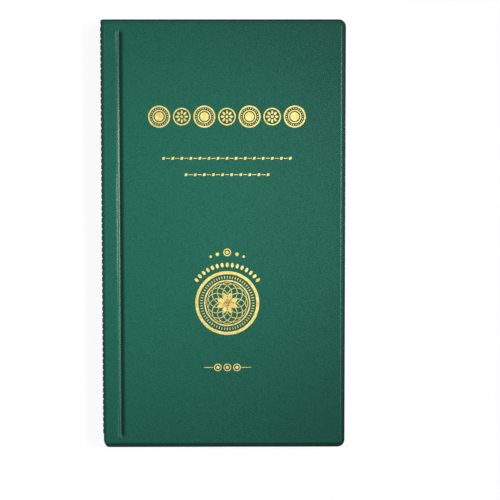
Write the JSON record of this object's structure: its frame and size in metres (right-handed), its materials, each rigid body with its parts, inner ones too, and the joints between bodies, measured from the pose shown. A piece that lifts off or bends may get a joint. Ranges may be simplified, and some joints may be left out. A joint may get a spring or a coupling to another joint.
{
  "type": "coin album",
  "caption": "Tall coin collecting album with green vinyl covers on hinge grooves, a ribbed spine and clear pocket leaves bound between them, with gold ornament on the front.",
  "frame": {"origin": "centre of the closed album's footprint, on the outer face of the back cover", "axes": "+Y up the cover from tail to head, +Z through the thickness from back cover to front cover, +X from the spine to the fore edge"},
  "size_m": [0.165, 0.29, 0.0182],
  "materials": {
    "vinyl": "fine-grained satin vinyl leatherette",
    "lining": "smooth matt vinyl",
    "greyboard": "raw grey board",
    "guard_stock": "satin white plastic strip",
    "clear_film": "clear glossy soft film",
    "weld": "pressed, slightly milky weld",
    "gold_foil": "hot-stamped gold foil"
  },
  "bodies": {
    "binding": {"binding_skin": "vinyl", "spine_board": "greyboard", "front_strip_board": "greyboard", "back_strip_board": "greyboard", "binding_lining": "lining", "guard_strips": "guard_stock", "leaf_tabs": "clear_film", "front_hinge_web": "vinyl", "back_hinge_web": "vinyl"},
    "front_cover": {"front_cover_skin": "vinyl", "front_board": "greyboard", "front_lining": "lining", "foil_stamping": "gold_foil"},
    "back_cover": {"back_cover_skin": "vinyl", "back_board": "greyboard", "back_lining": "lining"},
    "leaf_01": {"leaf_01_back_film": "clear_film", "leaf_01_pocket_film": "clear_film", "leaf_01_weld_seams": "weld"},
    "leaf_02": {"leaf_02_back_film": "clear_film", "leaf_02_pocket_film": "clear_film", "leaf_02_weld_seams": "weld"},
    "leaf_03": {"leaf_03_back_film": "clear_film", "leaf_03_pocket_film": "clear_film", "leaf_03_weld_seams": "weld"},
    "leaf_04": {"leaf_04_back_film": "clear_film", "leaf_04_pocket_film": "clear_film", "leaf_04_weld_seams": "weld"},
    "leaf_05": {"leaf_05_back_film": "clear_film", "leaf_05_pocket_film": "clear_film", "leaf_05_weld_seams": "weld"},
    "leaf_06": {"leaf_06_back_film": "clear_film", "leaf_06_pocket_film": "clear_film", "leaf_06_weld_seams": "weld"},
    "leaf_07": {"leaf_07_back_film": "clear_film", "leaf_07_pocket_film": "clear_film", "leaf_07_weld_seams": "weld"},
    "leaf_08": {"leaf_08_back_film": "clear_film", "leaf_08_pocket_film": "clear_film", "leaf_08_weld_seams": "weld"},
    "leaf_09": {"leaf_09_back_film": "clear_film", "leaf_09_pocket_film": "clear_film", "leaf_09_weld_seams": "weld"},
    "leaf_10": {"leaf_10_back_film": "clear_film", "leaf_10_pocket_film": "clear_film", "leaf_10_weld_seams": "weld"}
  },
  "joints": [
    {"name": "front_cover_hinge", "type": "hinge", "parent": "binding", "child": "front_cover", "pos_m": [-0.069, 0, 0.0172], "axis": [0, -1, 0], "range_deg": [0, 125], "deforming": ["front_hinge_web"]},
    {"name": "back_cover_hinge", "type": "hinge", "parent": "binding", "child": "back_cover", "pos_m": [-0.069, 0, 0.001], "axis": [0, 1, 0], "range_deg": [0, 125], "deforming": ["back_hinge_web"]},
    {"name": "leaf_01_fold", "type": "hinge", "parent": "binding", "child": "leaf_01", "pos_m": [-0.0686, 0, 0.0145], "axis": [0, -1, 0], "range_deg": [0, 77.5]},
    {"name": "leaf_02_fold", "type": "hinge", "parent": "binding", "child": "leaf_02", "pos_m": [-0.0686, 0, 0.0133], "axis": [0, -1, 0], "range_deg": [0, 69.8]},
    {"name": "leaf_03_fold", "type": "hinge", "parent": "binding", "child": "leaf_03", "pos_m": [-0.0686, 0, 0.0121], "axis": [0, -1, 0], "range_deg": [0, 62]},
    {"name": "leaf_04_fold", "type": "hinge", "parent": "binding", "child": "leaf_04", "pos_m": [-0.0686, 0, 0.0109], "axis": [0, -1, 0], "range_deg": [0, 54.3]},
    {"name": "leaf_05_fold", "type": "hinge", "parent": "binding", "child": "leaf_05", "pos_m": [-0.0686, 0, 0.0097], "axis": [0, -1, 0], "range_deg": [0, 46.5]},
    {"name": "leaf_06_fold", "type": "hinge", "parent": "binding", "child": "leaf_06", "pos_m": [-0.0686, 0, 0.0085], "axis": [0, -1, 0], "range_deg": [0, 38.8]},
    {"name": "leaf_07_fold", "type": "hinge", "parent": "binding", "child": "leaf_07", "pos_m": [-0.0686, 0, 0.0073], "axis": [0, -1, 0], "range_deg": [0, 31.1]},
    {"name": "leaf_08_fold", "type": "hinge", "parent": "binding", "child": "leaf_08", "pos_m": [-0.0686, 0, 0.0061], "axis": [0, -1, 0], "range_deg": [0, 23.3]},
    {"name": "leaf_09_fold", "type": "hinge", "parent": "binding", "child": "leaf_09", "pos_m": [-0.0686, 0, 0.0049], "axis": [0, -1, 0], "range_deg": [0, 15.6]},
    {"name": "leaf_10_fold", "type": "hinge", "parent": "binding", "child": "leaf_10", "pos_m": [-0.0686, 0, 0.0037], "axis": [0, -1, 0], "range_deg": [0, 7.8]}
  ],
  "couplings": [
    {"joint": "leaf_01_fold", "follows": "front_cover_hinge", "ratio": 0.62},
    {"joint": "leaf_02_fold", "follows": "front_cover_hinge", "ratio": 0.558},
    {"joint": "leaf_03_fold", "follows": "front_cover_hinge", "ratio": 0.496},
    {"joint": "leaf_04_fold", "follows": "front_cover_hinge", "ratio": 0.434},
    {"joint": "leaf_05_fold", "follows": "front_cover_hinge", "ratio": 0.372},
    {"joint": "leaf_06_fold", "follows": "front_cover_hinge", "ratio": 0.31},
    {"joint": "leaf_07_fold", "follows": "front_cover_hinge", "ratio": 0.248},
    {"joint": "leaf_08_fold", "follows": "front_cover_hinge", "ratio": 0.186},
    {"joint": "leaf_09_fold", "follows": "front_cover_hinge", "ratio": 0.124},
    {"joint": "leaf_10_fold", "follows": "front_cover_hinge", "ratio": 0.062}
  ]
}
